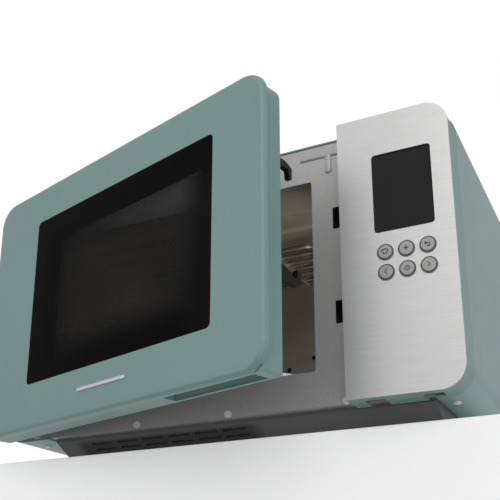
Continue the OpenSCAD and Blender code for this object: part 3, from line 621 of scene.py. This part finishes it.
def bead(bm, start, end, half, rise, y):
    """A half-round pressed bead with round ends, between two points in X and Z."""
    along = (Vector(end) - Vector(start)).normalized()
    side = Vector((-along.y, along.x))
    rings = []
    for layer in range(5):
        t = math.radians(90 * layer / 4)
        r, out = half * math.cos(t) + 0.01 * MM, rise * math.sin(t)
        ring = []
        for centre, first in ((Vector(end), -90), (Vector(start), 90)):
            for k in range(9):
                a = math.radians(first + 180 * k / 8)
                p = centre + along * (r * math.cos(a)) + side * (r * math.sin(a))
                ring.append((p.x, y - out, p.y))
        rings.append(ring)
    loft(bm, rings)


RIB_RISE = 1.5 * MM    # the shut door passes 2 mm in front of the plate


def make_rib():
    bm = bmesh.new()
    y, half = front_hi.y - 1.2 * MM, 3.2 * MM
    high = door_hi.z - 4.5 * MM
    corner = plate_lo.x
    bead(bm, (corner - 0.047, high), (corner + 0.012, high), half, RIB_RISE, y)
    bead(bm, (corner - 0.021, high), (corner - 0.021, high - 0.0175), half, RIB_RISE, y)
    finish_mesh("plate_rib", bm, [plate_steel], "oven_body", 60)


make_rib()


# ---------------------------------------------------------------- buttons

CAP_ROUND = 0.7 * MM
CAP_DEPTH = 4.6 * MM
CAP_DISH = 0.06 * MM        # how far the cap's face is hollowed where the symbol lies
INK = 0.38 * MM


def lathe(bm, centre, profile, steps=40):
    """Turns a profile of (radius, y) about the Y axis through centre, and closes both ends."""
    rings = []
    for radius, y in profile:
        rings.append([(centre.x + radius * math.cos(2 * math.pi * k / steps), y,
                       centre.z + radius * math.sin(2 * math.pi * k / steps))
                      for k in range(steps)])
    loft(bm, rings)


def stroke(bm, centre, y, points, width=INK, index=1):
    """A raised line of the given half width, with mitred joints."""
    low, high = [], []
    for k, (x, z) in enumerate(points):
        before = points[max(k - 1, 0)]
        after = points[min(k + 1, len(points) - 1)]
        along = Vector((after[0] - before[0], after[1] - before[1])).normalized()
        side = Vector((-along.y, along.x)) * width
        low.append((x * MM - side.x, z * MM - side.y))
        high.append((x * MM + side.x, z * MM + side.y))
    top, foot = y - 0.12 * MM, y + 0.1 * MM
    rows = []
    for (ax, az), (bx, bz) in zip(low, high):
        rows.append([bm.verts.new((centre.x + px, py, centre.z + pz)) for px, py, pz in
                     ((ax, foot, az), (ax, top, az), (bx, top, bz), (bx, foot, bz))])
    for a, b in zip(rows, rows[1:]):
        for k in range(4):
            bm.faces.new((a[k], a[(k + 1) % 4], b[(k + 1) % 4], b[k])).material_index = index
    for row in (rows[0], rows[-1]):
        bm.faces.new(row).material_index = index


def arc(radius, start, end, steps=18, cx=0.0, cz=0.0):
    turns = [math.radians(start + (end - start) * k / steps) for k in range(steps + 1)]
    return [(cx + radius * math.cos(a), cz + radius * math.sin(a)) for a in turns]


CHEF_HAT = ([(1.4, -2.0), (-1.4, -2.0), (-1.4, -0.1)] + arc(1.15, 250, 85, 8, -1.5, 0.9)
            + arc(1.25, 150, 30, 8, 0.0, 1.3) + arc(1.15, 95, -70, 8, 1.5, 0.9)
            + [(1.4, -0.1), (1.4, -2.0)])
ICONS = {
    "menu": [CHEF_HAT],
    "plus": [[(-2.3, 0), (2.3, 0)], [(0, -2.3), (0, 2.3)]],
    "back": [[(-2.2, 0.9), (0.6, 0.9)] + arc(1.4, 85, -90, 10, 0.6, -0.5) + [(-0.6, -1.9)],
             [(-1.0, 2.2), (-2.3, 0.9), (-1.0, -0.4)]],
    "down": [[(1.0, 2.1), (-1.1, 0), (1.0, -2.1)]],
    "power": [arc(1.9, 125, 415, 24), [(0, 2.6), (0, 0.5)]],
    "up": [[(-1.0, 2.1), (1.1, 0), (-1.0, -2.1)]],
}


def make_buttons():
    """Round caps with softened edges and a raised dark symbol on each."""
    ink = moulded("key_symbol", (0.012, 0.012, 0.012), 0.5)
    for name, lines in ICONS.items():
        low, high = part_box("button_" + name)
        centre = (low + high) / 2
        radius = (high.x - low.x) / 2
        bm = bmesh.new()
        profile = [(radius, low.y + CAP_DEPTH)]
        for k in range(6):
            a = math.pi / 2 * k / 5
            profile.append((radius - CAP_ROUND * (1 - math.cos(a)),
                            low.y + CAP_ROUND * (1 - math.sin(a))))
        profile.append((radius * 0.6, low.y + CAP_DISH))
        profile.append((radius * 0.2, low.y + 0.10 * MM))
        lathe(bm, centre, profile)
        for line in lines:
            stroke(bm, centre, low.y + CAP_DISH, line)
        cap = finish_mesh("cap_" + name, bm, [key_grey, ink], "key_" + name)
        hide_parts("button_" + name)


make_buttons()


# ---------------------------------------------------------------- display glass

def display_material():
    s = Shader("display_glass", (0.018, 0.018, 0.019), roughness=0.16)
    s.set("Specular IOR Level", 0.25)
    s.colour_from(s.noise(30.0), (0.010, 0.010, 0.011), (0.013, 0.013, 0.014))
    s.rough_from(s.noise(50.0), 0.14, 0.2)
    return s.mat


dress("display_window", display_material())
